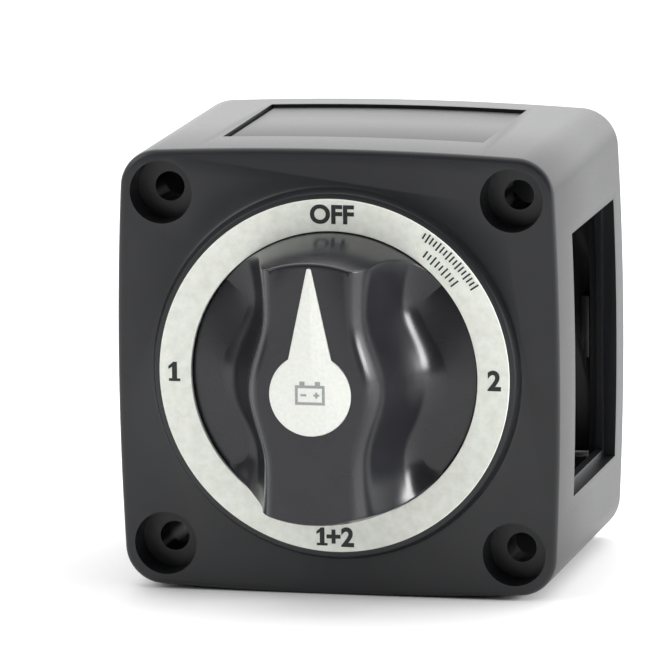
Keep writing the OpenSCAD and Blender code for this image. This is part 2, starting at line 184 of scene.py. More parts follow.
def join(name, pieces):
    bpy.ops.object.select_all(action="DESELECT")
    for piece in pieces:
        piece.select_set(True)
    bpy.context.view_layer.objects.active = pieces[0]
    bpy.ops.object.join()
    pieces[0].name = name
    return pieces[0]


def moved(piece, matrix):
    """A copy of a piece, with its own mesh, put elsewhere."""
    only(piece)
    bpy.ops.object.duplicate()
    copy = bpy.context.object
    copy.data.transform(matrix)
    return copy


def quarter_turns(piece, turns=(0, 90, 180, 270)):
    copies = [moved(piece, Matrix.Rotation(math.radians(a), 4, "Z")) for a in turns]
    bpy.data.objects.remove(piece)
    return copies


def finish(piece, body, material, node=None, angle=35):
    """Stands a piece upright, smooths it, paints it and hands it to the frame."""
    only(piece)
    bpy.ops.object.transform_apply()
    piece.data.transform(UPRIGHT)
    bpy.ops.object.shade_smooth_by_angle(angle=math.radians(angle))
    piece.data.materials.clear()
    piece.data.materials.append(material)
    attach(piece, body)
    if node:
        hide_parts(node)
    return piece


def linear(code):
    """An sRGB hex colour as the linear values that shaders take."""
    parts = [int(code[i:i + 2], 16) / 255 for i in (1, 3, 5)]
    return [p / 12.92 if p <= 0.04045 else ((p + 0.055) / 1.055) ** 2.4 for p in parts] + [1]


def add(tree, kind, settings=None, **links):
    """Adds a node, sets its sockets or settings, and links other nodes' outputs in."""
    new = tree.nodes.new("ShaderNode" + kind)
    for key, value in (settings or {}).items():
        if key in new.inputs:
            new.inputs[key].default_value = value
        else:
            setattr(new, key, value)
    for key, source in links.items():
        tree.links.new(source, new.inputs[int(key[1:])] if key[1:].isdigit() else new.inputs[key])
    return new


def new_material(name):
    """A material, its nodes, its shader and the piece's own coordinates."""
    material = bpy.data.materials.new(name)
    material.use_nodes = True
    tree = material.node_tree
    return material, tree, tree.nodes["Principled BSDF"], add(tree, "TexCoord").outputs["Object"]


half = corner("case", 1).x
boss_z = corner("case", 1).z
ring_front = corner("label_ring", 1).z
ring_height = 2.45
face_z = ring_front - ring_height
crown_r = 550
corner_r = 6
wall = 3
ARC_STEPS = 14
SIDE_STEPS = 20


def case_outline(inset):
    """Points round the case, moved inwards by inset: bowed sides and round corners."""
    width = half - inset
    bow = crown_r - inset
    radius = max(corner_r - inset, 0.5)
    centre = (width - bow + math.sqrt(2 * (bow - radius) ** 2 - (bow - width) ** 2)) / 2
    turn = math.atan2(centre, centre + bow - width)
    points = []
    for side in range(4):
        quarter = Matrix.Rotation(side * math.pi / 2, 2)
        for i in range(SIDE_STEPS):
            a = -turn + 2 * turn * i / SIDE_STEPS
            points.append(quarter @ Vector((width - bow + bow * math.cos(a), bow * math.sin(a))))
        for i in range(ARC_STEPS):
            a = turn + (math.pi / 2 - 2 * turn) * i / ARC_STEPS
            arc = Vector((centre + radius * math.cos(a), centre + radius * math.sin(a)))
            points.append(quarter @ arc)
    return points


def case_prism(name, levels):
    """A solid of the case's outline through levels of (inset, height)."""
    return loft(name, [[(*p, height) for p in case_outline(inset)] for inset, height in levels])


def edge_round(radius, height, steps=4):
    """Levels of (inset, height) that round the upper edge of a prism."""
    turns = [math.pi / 2 * i / steps for i in range(steps + 1)]
    return [(radius * (1 - math.cos(a)), height - radius * (1 - math.sin(a))) for a in turns]


front_edge = 0.9
rear_edge = 0.5
case = case_prism("case_shell", [(rear_edge, 0), (rear_edge * 0.3, rear_edge * 0.3), (0, rear_edge)]
                  + edge_round(front_edge, face_z))

# The boss round the ring has a sloped side and a soft upper rim.
rim_r = corner("label_ring", 1).x + 0.5
slope = 1.35
boss = turned("boss", [
    (20, face_z - 1), (rim_r + slope + 0.7, face_z - 1), (rim_r + slope + 0.1, face_z),
    (rim_r + slope - 0.35, face_z + 0.25), (rim_r + 0.45, boss_z - 0.35),
    (rim_r + 0.3, boss_z - 0.12), (rim_r, boss_z), (20, boss_z),
])
cut(case, boss, "UNION")

# Rooms inside: the rear terminal bay, the ledge for the back cover and the contact
# chamber, whose round wall and screw bosses stay standing.
base_front = corner("contact_base", 1).z
plate_gap = 0.35
window_rear = corner("top_side_plate", 0).z - plate_gap
plate_front = face_z - 3
chamber_r = 24.5
chamber_wall = 2
screw_boss_r = 3.2
screw_x = 12
screw_y = half - wall - 3.3
hole_at = frame["record"]["mounts"][0]["dims"]["spacing_x_mm"] / 2
hole_r = frame["record"]["mounts"][0]["dims"]["hole_r_mm"]
post_r = 6.6
bore_r = 4.9
bore_depth = 6
cover_t = 2.4
ledge_w = 1.2


def corner_posts(grow, z0, z1):
    """Posts round the four mounting holes, each running out into both walls."""
    reach = half - wall / 2 - hole_at
    side = post_r + grow
    arc = [math.pi + math.pi / 2 * i / 12 for i in range(13)]
    outline = [(side * math.cos(a), side * math.sin(a)) for a in arc]
    outline += [(reach, -side), (reach, reach), (-side, reach)]
    rings = [[(hole_at + x, hole_at + y, z) for x, y in outline] for z in (z0, z1)]
    return quarter_turns(loft("post", rings))


chamber = case_prism("chamber_room", [(wall, base_front), (wall, plate_front)])
cut(chamber, turned("chamber_wall", [
    (chamber_r, base_front + 0.6), (chamber_r + chamber_wall, base_front + 0.6),
    (chamber_r + chamber_wall, plate_front + 1), (chamber_r, plate_front + 1),
]))
for sx in (-1, 1):
    for sy in (-1, 1):
        cut(chamber, rod("screw_boss", screw_boss_r, base_front - 1, plate_front + 1,
                         (sx * screw_x, sy * screw_y), 32))
for post in corner_posts(0, base_front - 1, plate_front + 1):
    cut(chamber, post)
cut(case, chamber)
cut(case, case_prism("bay", [(wall, window_rear), (wall, base_front + 0.01)]))
ledge = case_prism("ledge_room", [(wall + ledge_w, cover_t), (wall + ledge_w, window_rear + 0.1)])
rear_room = case_prism("rear_room", [(wall, -1), (wall, cover_t + 0.1)])
cut(rear_room, ledge, "UNION")
for post in corner_posts(0, -2, window_rear):
    cut(rear_room, post)
cut(case, rear_room)

# A window in each side, with a step inside it that a plate rests on.
window_w = 41
window_l = 33.3
window_front = window_rear + window_l
step_w = 1.2
plate_seat = 2.1
for turn in range(4):
    spin = Matrix.Rotation(turn * math.pi / 2, 4, "Z")
    step = block("step", (-window_w / 2, half - plate_seat, window_rear),
                 (window_w / 2, half + 1, window_front))
    opening = block("opening", (-window_w / 2 + step_w, half - wall - 2, window_rear + step_w),
                    (window_w / 2 - step_w, half + 1, window_front - step_w))
    for cutter in (step, opening):
        cutter.data.transform(spin)
        cut(case, cutter)

# Mounting holes with counterbores, the well for the knob, the ring's groove and the
# hole for the shaft.
ring_r = corner("label_ring", 1).x
ring_band = 4.74
ring_inner_r = ring_r - ring_band
ring_t = 0.8
shaft_hole_r = 6.05
for sx in (-1, 1):
    for sy in (-1, 1):
        at = (sx * hole_at, sy * hole_at)
        cut(case, rod("hole", hole_r, -1, face_z + 1, at, 48))
        cut(case, rod("counterbore", bore_r, face_z - bore_depth, face_z + 1, at, 64))
cut(case, turned("well", [
    (0, face_z), (ring_inner_r, face_z), (ring_inner_r, ring_front - ring_t),
    (ring_r, ring_front - ring_t), (ring_r, boss_z + 1), (0, boss_z + 1),
]))
cut(case, rod("shaft_hole", shaft_hole_r, plate_front - 1, face_z + 1))
rounded(case, 0.22, angle=50, segments=2)


def charcoal_moulding():
    """Charcoal PC/ABS, injection moulded in a spark-eroded tool: satin and finely grained."""
    material, tree, shader, place = new_material("charcoal_moulding")
    # Spark-eroded grain is about 0.08 mm across; it is drawn at 0.22 mm so that it shows.
    grain = add(tree, "TexNoise", {"Scale": 1 / (0.22 * MM), "Detail": 3.0, "Roughness": 0.6},
                Vector=place)
    # Slow unevenness of the melt, some 9 mm across.
    cloud = add(tree, "TexNoise", {"Scale": 1 / (9 * MM), "Detail": 2.0}, Vector=place)
    tint = add(tree, "ValToRGB", None, Fac=cloud.outputs["Fac"])
    tint.color_ramp.elements[0].position = 0.3
    tint.color_ramp.elements[0].color = linear("#17181b")
    tint.color_ramp.elements[1].position = 0.7
    tint.color_ramp.elements[1].color = linear("#1d1e21")
    gloss = add(tree, "MapRange", {"To Min": 0.3, "To Max": 0.46}, Value=grain.outputs["Fac"])
    bump = add(tree, "Bump", {"Strength": 0.25, "Distance": 0.02 * MM}, Height=grain.outputs["Fac"])
    tree.links.new(tint.outputs["Color"], shader.inputs["Base Color"])
    tree.links.new(gloss.outputs["Result"], shader.inputs["Roughness"])
    tree.links.new(bump.outputs["Normal"], shader.inputs["Normal"])
    shader.inputs["IOR"].default_value = 1.48
    return material


charcoal = charcoal_moulding()
finish(case, "case_body", charcoal, "case")

# ------------------------------------------------------------------ label ring
# A flat ring of off-white luminescent plastic, pressed into the groove of the boss.
# Its marks are pad printed in black: four positions, and rows of plain index ticks.

# Its inner edge comes to a tenth of a millimetre from the knob's disc.
bevel = 0.08
lip_r = corner("knob_handle", 1).x + 0.1
label_ring = turned("label_ring_moulded", [
    (lip_r, ring_front - ring_t), (ring_r, ring_front - ring_t), (ring_r, ring_front - bevel),
    (ring_r - bevel, ring_front), (lip_r + bevel, ring_front), (lip_r, ring_front - bevel),
], steps=192)


def luminescent_plastic():
    """Phosphor-filled polycarbonate: off-white with a faint green cast, softly satin."""
    material, tree, shader, place = new_material("luminescent_plastic")
    # Clumps of phosphor, about 1.6 mm across.
    clumps = add(tree, "TexNoise", {"Scale": 1 / (1.6 * MM), "Detail": 4.0, "Roughness": 0.65},
                 Vector=place)
    tint = add(tree, "ValToRGB", None, Fac=clumps.outputs["Fac"])
    tint.color_ramp.elements[0].position = 0.32
    tint.color_ramp.elements[0].color = linear("#e4e7dd")
    tint.color_ramp.elements[1].position = 0.62
    tint.color_ramp.elements[1].color = linear("#f2f4ec")
    # Moulded skin with waves of 0.5 mm.
    skin = add(tree, "TexNoise", {"Scale": 1 / (0.5 * MM), "Detail": 2.0}, Vector=place)
    gloss = add(tree, "MapRange", {"To Min": 0.42, "To Max": 0.58}, Value=skin.outputs["Fac"])
    bump = add(tree, "Bump", {"Strength": 0.12, "Distance": 0.02 * MM}, Height=skin.outputs["Fac"])
    tree.links.new(tint.outputs["Color"], shader.inputs["Base Color"])
    tree.links.new(gloss.outputs["Result"], shader.inputs["Roughness"])
    tree.links.new(bump.outputs["Normal"], shader.inputs["Normal"])
    shader.inputs["Subsurface Weight"].default_value = 0.1
    shader.inputs["Subsurface Scale"].default_value = 0.6 * MM
    return material


finish(label_ring, "case_body", luminescent_plastic(), "label_ring")

ink_t = 0.04
ring_middle = (ring_r + ring_inner_r) / 2


def lettering(text, height, x, y, weight=0.14):
    """A word of raised print, centred at a place on the ring."""
    bpy.ops.object.select_all(action="DESELECT")
    bpy.ops.object.text_add()
    letters = bpy.context.object
    letters.data.body = text
    letters.data.align_x = "CENTER"
    letters.data.size = height / 0.69
    letters.data.offset = weight
    letters.data.extrude = ink_t / 2
    letters.data.resolution_u = 6
    bpy.ops.object.convert(target="MESH")
    letters = bpy.context.object
    with_modifier(letters, "WELD", merge_threshold=0.001)
    low = min(v.co.y for v in letters.data.vertices)
    high = max(v.co.y for v in letters.data.vertices)
    left = min(v.co.x for v in letters.data.vertices)
    right = max(v.co.x for v in letters.data.vertices)
    shift = Vector((x - (left + right) / 2, y - (low + high) / 2, ring_front + ink_t / 2))
    letters.data.transform(Matrix.Translation(shift))
    return letters


def numeral_one(height, x, y):
    """A printed 1 with a flag and a foot, centred at a place on the ring."""
    outline = [
        (-0.3, -0.5), (0.3, -0.5), (0.3, -0.36), (0.13, -0.36), (0.13, 0.5), (-0.06, 0.5),
        (-0.32, 0.28), (-0.32, 0.12), (-0.13, 0.24), (-0.13, -0.36), (-0.3, -0.36),
    ]
    rings = [[(x + u * height, y + v * height, z) for u, v in outline]
             for z in (ring_front, ring_front + ink_t)]
    return loft("one", rings)


marks = [
    lettering("OFF", 2.7, 0, ring_middle),
    numeral_one(3.0, -ring_middle, 0),
    lettering("2", 2.9, ring_middle, 0),
    numeral_one(2.8, -2.1, -ring_middle),
    lettering("+2", 2.8, 0.75, -ring_middle),
]
# Two rows of index ticks follow the ring between OFF and 2.
tick_half = 0.13
for row_r, first, last, count in ((26.3, 33, 57, 17), (24.1, 38, 53, 9)):
    for i in range(count):
        angle = math.radians(first + (last - first) * i / (count - 1))
        length = (1.5, 1.0, 1.2)[i % 3]
        tick = block("tick", (row_r - length / 2, -tick_half, ring_front),
                     (row_r + length / 2, tick_half, ring_front + ink_t))
        tick.data.transform(Matrix.Rotation(angle, 4, "Z"))
        marks.append(tick)
ring_marks = join("ring_marks", marks)


def printing_ink():
    """Black pad-printing ink: almost matt, thinner where the pad pressed less."""
    material, tree, shader, place = new_material("printing_ink")
    # The pad leaves patches about 0.7 mm across.
    patches = add(tree, "TexNoise", {"Scale": 1 / (0.7 * MM), "Detail": 3.0}, Vector=place)
    tint = add(tree, "ValToRGB", None, Fac=patches.outputs["Fac"])
    tint.color_ramp.elements[0].position = 0.35
    tint.color_ramp.elements[0].color = linear("#101112")
    tint.color_ramp.elements[1].position = 0.75
    tint.color_ramp.elements[1].color = linear("#26272a")
    gloss = add(tree, "MapRange", {"To Min": 0.45, "To Max": 0.65}, Value=patches.outputs["Fac"])
    tree.links.new(tint.outputs["Color"], shader.inputs["Base Color"])
    tree.links.new(gloss.outputs["Result"], shader.inputs["Roughness"])
    return material


finish(ring_marks, "case_body", printing_ink())

# ------------------------------------------------------------------ contact base
# The black glass-filled plate that closes the contact chamber from behind and holds
# the studs. Four screws pull it against a rubber gasket on the chamber's wall.


def glass_filled_nylon():
    """Nylon with short glass fibres: black, slightly mottled, dull where fibres surface."""
    material, tree, shader, place = new_material("glass_filled_nylon")
    # Fibres lie mostly one way, about 0.9 mm long and 0.15 mm wide as drawn.
    flow = add(tree, "Mapping", {"Scale": (1 / (0.9 * MM), 1 / (0.15 * MM), 1 / (0.15 * MM))},
               Vector=place)
    fibres = add(tree, "TexNoise", {"Scale": 1.0, "Detail": 2.0}, Vector=flow.outputs["Vector"])
    tint = add(tree, "ValToRGB", None, Fac=fibres.outputs["Fac"])
    tint.color_ramp.elements[0].position = 0.35
    tint.color_ramp.elements[0].color = linear("#17181a")
    tint.color_ramp.elements[1].position = 0.75
    tint.color_ramp.elements[1].color = linear("#232427")
    gloss = add(tree, "MapRange", {"To Min": 0.38, "To Max": 0.62}, Value=fibres.outputs["Fac"])
    bump = add(tree, "Bump", {"Strength": 0.2, "Distance": 0.02 * MM}, Height=fibres.outputs["Fac"])
    tree.links.new(tint.outputs["Color"], shader.inputs["Base Color"])
    tree.links.new(gloss.outputs["Result"], shader.inputs["Roughness"])
    tree.links.new(bump.outputs["Normal"], shader.inputs["Normal"])
    return material


def seal_rubber():
    """Nitrile rubber, compression moulded: black with a dry, faintly mottled bloom."""
    material, tree, shader, place = new_material("seal_rubber")
    bloom = add(tree, "TexNoise", {"Scale": 1 / (0.8 * MM), "Detail": 4.0}, Vector=place)
    tint = add(tree, "ValToRGB", None, Fac=bloom.outputs["Fac"])
    tint.color_ramp.elements[0].color = linear("#141414")
    tint.color_ramp.elements[1].color = linear("#262626")
    gloss = add(tree, "MapRange", {"To Min": 0.55, "To Max": 0.8}, Value=bloom.outputs["Fac"])
    tree.links.new(tint.outputs["Color"], shader.inputs["Base Color"])
    tree.links.new(gloss.outputs["Result"], shader.inputs["Roughness"])
    return material


def repaint(node, material):
    """Gives a CAD node that stays in view a finer material."""
    piece = frame["nodes"][node]
    piece.data.materials.clear()
    piece.data.materials.append(material)


glass_filled = glass_filled_nylon()
rubber = seal_rubber()
repaint("contact_base", glass_filled)
repaint("chamber_gasket", rubber)
repaint("stud_seals", rubber)

# ------------------------------------------------------------------ terminals
# Three 3/8 inch studs of tinned copper. Each carries a flat washer, a split lock
# washer and a chamfered hexagon nut of stainless steel behind the base.

stud_r = 4.76
pitch = 25.4 / 16
thread_depth = 0.55
TURN_STEPS = 40
PITCH_STEPS = 8


def threaded(name, radius, pitch, depth, z0, z1, tip):
    """A rod with a rolled thread: its radius rises and falls with the helix."""
    rows = round((z1 - z0) / pitch * PITCH_STEPS)
    rings = []
    for row in range(rows + 1):
        z = z0 + (z1 - z0) * row / rows
        limit = radius - max(0, tip - (z - z0))
        ring = []
        for step in range(TURN_STEPS):
            wave = abs(((z - z0) / pitch - step / TURN_STEPS) % 1 * 2 - 1)
            r = min(radius - depth * (1 - min(1, max(0, wave * 1.25 - 0.125))), limit)
            a = math.tau * step / TURN_STEPS
            ring.append((r * math.cos(a), r * math.sin(a), z))
        rings.append(ring)
    return loft(name, rings)


base_rear = corner("contact_base", 0).z
stud_tip = corner("stud_one", 0).z
contact_front = corner("stud_one", 1).z
head_r = (corner("stud_one", 1).x - corner("stud_one", 0).x) / 2
shank_r = stud_r - 0.46
terminal_at = {
    "stud_common": (0, corner("stud_common", 1).y - head_r),
    "stud_one": (corner("stud_one", 0).x + head_r, corner("stud_one", 0).y + head_r),
    "stud_two": (corner("stud_two", 1).x - head_r, corner("stud_two", 0).y + head_r),
}


def tinned_copper():
    """Electro-tinned copper: pale silver with faint spangles and a warm cast."""
    material, tree, shader, place = new_material("tinned_copper")
    # Spangles of the tin, about 1.2 mm across.
    spangle = add(tree, "TexVoronoi", {"Scale": 1 / (1.2 * MM)}, Vector=place)
    tint = add(tree, "ValToRGB", None, Fac=spangle.outputs["Distance"])
    tint.color_ramp.elements[0].color = linear("#b9b3a8")
    tint.color_ramp.elements[1].color = linear("#cfcbc3")
    gloss = add(tree, "MapRange", {"To Min": 0.26, "To Max": 0.42},
                Value=spangle.outputs["Distance"])
    tree.links.new(tint.outputs["Color"], shader.inputs["Base Color"])
    tree.links.new(gloss.outputs["Result"], shader.inputs["Roughness"])
    shader.inputs["Metallic"].default_value = 1
    return material


def stainless_steel():
    """Cold-formed stainless steel: bright grey, with fine drawn lines that vary in gloss."""
    material, tree, shader, place = new_material("stainless_steel")
    # Drawn lines 0.12 mm apart run along the fastener's axis.
    drawn = add(tree, "Mapping", {"Scale": (1 / (0.12 * MM), 1 / (6 * MM), 1 / (0.12 * MM))},
                Vector=place)
    lines = add(tree, "TexNoise", {"Scale": 1.0, "Detail": 2.0}, Vector=drawn.outputs["Vector"])
    tint = add(tree, "ValToRGB", None, Fac=lines.outputs["Fac"])
    tint.color_ramp.elements[0].color = linear("#9c9da0")
    tint.color_ramp.elements[1].color = linear("#c4c5c8")
    gloss = add(tree, "MapRange", {"To Min": 0.2, "To Max": 0.38}, Value=lines.outputs["Fac"])
    tree.links.new(tint.outputs["Color"], shader.inputs["Base Color"])
    tree.links.new(gloss.outputs["Result"], shader.inputs["Roughness"])
    shader.inputs["Metallic"].default_value = 1
    return material


tinned = tinned_copper()
steel = stainless_steel()
thread_end = base_rear - 3.6
tip_chamfer = 0.8
hub_r = 9
hub_hole_r = 4.5
strap_half = 4.5
strap_from = 5.5
strap_skin = 0.05
for name, at in terminal_at.items():
    stud = threaded(name + "_threaded", stud_r, pitch, thread_depth, stud_tip, thread_end, tip_chamfer)
    stud.data.transform(Matrix.Translation((*at, 0)))
    shank = turned("shank", [
        (0, thread_end - 1), (shank_r, thread_end - 1), (shank_r, base_front),
        (head_r - 0.2, base_front), (head_r, base_front + 0.2), (head_r, contact_front - 0.25),
        (head_r - 0.25, contact_front), (0, contact_front),
    ])
    shank.data.transform(Matrix.Translation((*at, 0)))
    cut(stud, shank, "UNION")
    if name == "stud_common":
        strap = block("strap", (-strap_half, strap_from, base_front + strap_skin),
                      (strap_half, at[1], contact_front - strap_skin))
        cut(stud, rod("hub", hub_r, base_front, contact_front), "UNION")
        cut(stud, strap, "UNION")
        cut(stud, rod("hub_hole", hub_hole_r, base_front - 1, contact_front + 1))
        with_modifier(stud, "WELD", merge_threshold=0.001)
    finish(stud, "case_body", tinned, name)

flat_t = 1.6
lock_t = 2.2
coil_t = 1.75
LOCK_STEPS = 60
nut_t = 8
nut_flats = 14.3
nut_front = base_rear - flat_t - lock_t
nut_rear = nut_front - nut_t
flats, locks, nuts = [], [], []
for at in terminal_at.values():
    place = Matrix.Translation((*at, 0))
    flat = turned("flat_washer", [
        (stud_r + 0.25, base_rear - flat_t + 0.15), (stud_r + 0.4, base_rear - flat_t),
        (stud_r + 5.1, base_rear - flat_t), (stud_r + 5.4, base_rear - flat_t + 0.3),
        (stud_r + 5.4, base_rear), (stud_r + 0.25, base_rear),
    ])
    section = [
        (stud_r + 0.2, 0), (stud_r + 3.5, 0), (stud_r + 3.8, 0.3),
        (stud_r + 3.8, coil_t - 0.3), (stud_r + 3.5, coil_t), (stud_r + 0.2, coil_t),
    ]
    rings = []
    for step in range(LOCK_STEPS + 1):
        a = math.radians(6 + 348 * step / LOCK_STEPS)
        rise = nut_front + (lock_t - coil_t) * step / LOCK_STEPS
        rings.append([(r * math.cos(a), r * math.sin(a), rise + z) for r, z in section])
    lock = loft("lock_washer", rings)
    nut = rod("nut", nut_flats / math.sqrt(3), nut_rear, nut_front, sides=6)
    chamfer_r = nut_flats / 2
    cut(nut, turned("chamfers", [
        (0, nut_rear), (chamfer_r - 0.15, nut_rear), (chamfer_r + 1.4, nut_rear + 0.8),
        (chamfer_r + 1.4, nut_front - 0.8), (chamfer_r - 0.15, nut_front), (0, nut_front),
    ]), "INTERSECT")
    cut(nut, turned("nut_hole", [
        (0, nut_rear - 1), (stud_r + 1.2, nut_rear - 0.4), (shank_r + 0.1, nut_rear + 0.7),
        (shank_r + 0.1, nut_front - 0.7), (stud_r + 1.2, nut_front + 0.4), (0, nut_front + 1),
    ]))
    rounded(nut, 0.15, angle=25, segments=2)
    for piece, group in ((flat, flats), (lock, locks), (nut, nuts)):
        only(piece)
        piece.data.transform(place)
        group.append(piece)
finish(join("flat_washer_set", flats), "case_body", steel, "flat_washers")
finish(join("lock_washer_set", locks), "case_body", steel, "lock_washers")
finish(join("hexagon_nuts", nuts), "case_body", steel, "terminal_nuts")

# ------------------------------------------------------------------ base screws
# Four small pan-head screws with cross recesses, driven from behind through the base
# into the case's bosses.

screw_r = 1.5
screw_head_r = 2.6
screw_head_t = 2
cross_depth = 1.1
head_rear = base_rear - screw_head_t
screw_front = corner("base_screws", 1).z
screw = threaded("screw", screw_r, 0.9, 0.28, 0, screw_front - base_rear, 0)
lowered = Matrix.Translation((0, 0, base_rear - screw_front))
screw.data.transform(Matrix.Rotation(math.pi, 4, "X") @ lowered)
screw.data.transform(Matrix.Translation((0, 0, base_rear)))
head = turned("head", [
    (0, head_rear), (1.3, head_rear), (2.1, head_rear + 0.35), (2.5, head_rear + 0.95),
    (screw_head_r, base_rear - 0.4), (screw_head_r, base_rear), (1.2, base_rear), (0, base_rear),
], steps=48)
cut(screw, head, "UNION")
for turn in (0, 90):
    slot = block("slot", (-1.4, -0.3, head_rear - 1), (1.4, 0.3, head_rear + cross_depth))
    slot.data.transform(Matrix.Rotation(math.radians(turn), 4, "Z"))
    cut(screw, slot)
screws = [moved(screw, Matrix.Translation((sx * screw_x, sy * screw_y, 0)))
          for sx in (-1, 1) for sy in (-1, 1)]
bpy.data.objects.remove(screw)
finish(join("pan_head_screws", screws), "case_body", steel, "base_screws")

# ------------------------------------------------------------------ rotor
# Shaft, disc and square drive are one black moulding. It turns a copper blade over
# the studs' heads; three coil springs press the blade down, and two leaf springs
# click into the disc's notches. All of it runs sealed in the contact chamber.


def spring_steel():
    """Patented spring wire and strip: dark grey steel, drawn, with a thin oil film."""
    material, tree, shader, place = new_material("spring_steel")
    film = add(tree, "TexNoise", {"Scale": 1 / (1.5 * MM), "Detail": 3.0}, Vector=place)
    tint = add(tree, "ValToRGB", None, Fac=film.outputs["Fac"])
    tint.color_ramp.elements[0].color = linear("#77797d")
    tint.color_ramp.elements[1].color = linear("#989a9f")
    gloss = add(tree, "MapRange", {"To Min": 0.25, "To Max": 0.4}, Value=film.outputs["Fac"])
    tree.links.new(tint.outputs["Color"], shader.inputs["Base Color"])
    tree.links.new(gloss.outputs["Result"], shader.inputs["Roughness"])
    shader.inputs["Metallic"].default_value = 1
    return material


def bare_copper():
    """Hard-rolled copper: reddish, rubbed bright in rings where it slides, browner elsewhere."""
    material, tree, shader, place = new_material("bare_copper")
    # Rubbed tracks run round the knob's axis, 1.1 mm apart.
    flat = add(tree, "Mapping", {"Rotation": (math.pi / 2, 0, 0), "Scale": (1 / (7 * MM),) * 3},
               Vector=place)
    rings = {"wave_type": "RINGS", "rings_direction": "Z", "Scale": 1.0, "Distortion": 1.5}
    tracks = add(tree, "TexWave", rings, Vector=flat.outputs["Vector"])
    tint = add(tree, "ValToRGB", None, Fac=tracks.outputs["Fac"])
    tint.color_ramp.elements[0].color = linear("#9a5a3c")
    tint.color_ramp.elements[1].color = linear("#c98a66")
    gloss = add(tree, "MapRange", {"To Min": 0.42, "To Max": 0.24}, Value=tracks.outputs["Fac"])
    tree.links.new(tint.outputs["Color"], shader.inputs["Base Color"])
    tree.links.new(gloss.outputs["Result"], shader.inputs["Roughness"])
    shader.inputs["Metallic"].default_value = 1
    return material


def acetal():
    """Natural acetal sheet: milky white and waxy, faintly clouded."""
    material, tree, shader, place = new_material("acetal")
    haze = add(tree, "TexNoise", {"Scale": 1 / (2.5 * MM), "Detail": 3.0}, Vector=place)
    tint = add(tree, "ValToRGB", None, Fac=haze.outputs["Fac"])
    tint.color_ramp.elements[0].color = linear("#dcdbd4")
    tint.color_ramp.elements[1].color = linear("#ecebe6")
    tree.links.new(tint.outputs["Color"], shader.inputs["Base Color"])
    shader.inputs["Roughness"].default_value = 0.4
    shader.inputs["Subsurface Weight"].default_value = 0.2
    shader.inputs["Subsurface Scale"].default_value = 0.8 * MM
    return material


spring_wire_steel = spring_steel()
repaint("rotor_shaft", glass_filled)
repaint("shaft_o_ring", rubber)
repaint("thrust_washer", acetal())
repaint("moving_contact", bare_copper())
repaint("detent_springs", spring_wire_steel)

spring_r = 2.2
wire_r = 0.35
spring_turns = 3
spring_at = 12.6
COIL_STEPS = 28
WIRE_SIDES = 12
spring_rear = corner("contact_springs", 0).z
spring_front = corner("contact_springs", 1).z
springs = []
for place_angle in (55, 90, 125):
    turn = math.radians(place_angle)
    middle = (spring_at * math.cos(turn), spring_at * math.sin(turn))
    rings = []
    for step in range(spring_turns * COIL_STEPS + 1):
        a = math.tau * step / COIL_STEPS
        rise = (spring_front - spring_rear - 2 * wire_r) * step / (spring_turns * COIL_STEPS)
        z = spring_rear + wire_r + rise
        rings.append([
            (middle[0] + (spring_r + wire_r * math.cos(b)) * math.cos(a),
             middle[1] + (spring_r + wire_r * math.cos(b)) * math.sin(a),
             z + wire_r * math.sin(b))
            for b in (math.tau * k / WIRE_SIDES for k in range(WIRE_SIDES))
        ])
    springs.append(loft("coil", rings))
finish(join("coil_springs", springs), "rotor", spring_wire_steel, "contact_springs")

# ------------------------------------------------------------------ knob
# One glossy dark moulding: a round disc that lies inside the ring, and a waisted
# handle across it whose drafted flanks run out into the disc in a hollow curve. It is
# pushed onto the shaft's flats, and a wire clip inside it grips the shaft.

disc_r = corner("knob_handle", 1).x
disc_rear = corner("knob_handle", 0).z
disc_front = disc_rear + 1.9
disc_crown = 0.5
handle_front = corner("knob_handle", 1).z
handle_top = (9.9, 7.7, 7.8)
handle_foot = (16.6, 12.2, 14.6)
neck_y = 12
foot_r = disc_r - 0.03
top_r = foot_r - 2.2
foot_fillet = 2.4
flank_inset = 2.0
end_inset = 0.4
top_drop = 5
FLANK_STEPS = 48
END_STEPS = 18


def handle_ring(share, widen, lengthen, z):
    """Points round the handle, from foot (share 0) to top (share 1), widened and lengthened."""
    fade = 0.46 * (1 - share) + 0.54 * (1 - share) ** 4
    middle, neck, end = [t + (f - t) * fade for t, f in zip(handle_top, handle_foot)]
    radius = foot_r + (top_r - foot_r) * share ** 1.7 + lengthen
    y_end = math.sqrt(radius ** 2 - (end + widen) ** 2)
    a_end = math.atan2(y_end, end + widen)
    half_ring = []
    for i in range(FLANK_STEPS):
        y = -y_end + 2 * y_end * i / FLANK_STEPS
        if abs(y) < neck_y:
            x = neck + (middle - neck) * math.cos(math.pi / 2 * y / neck_y) ** 2
        else:
            x = neck + (end - neck) * ((abs(y) - neck_y) / (y_end - neck_y)) ** 2
        half_ring.append((x + widen, y))
    for i in range(END_STEPS):
        a = a_end + (math.pi - 2 * a_end) * i / END_STEPS
        half_ring.append((radius * math.cos(a), radius * math.sin(a)))
    return [(x, y, z) for x, y in half_ring] + [(-x, -y, z) for x, y in half_ring]


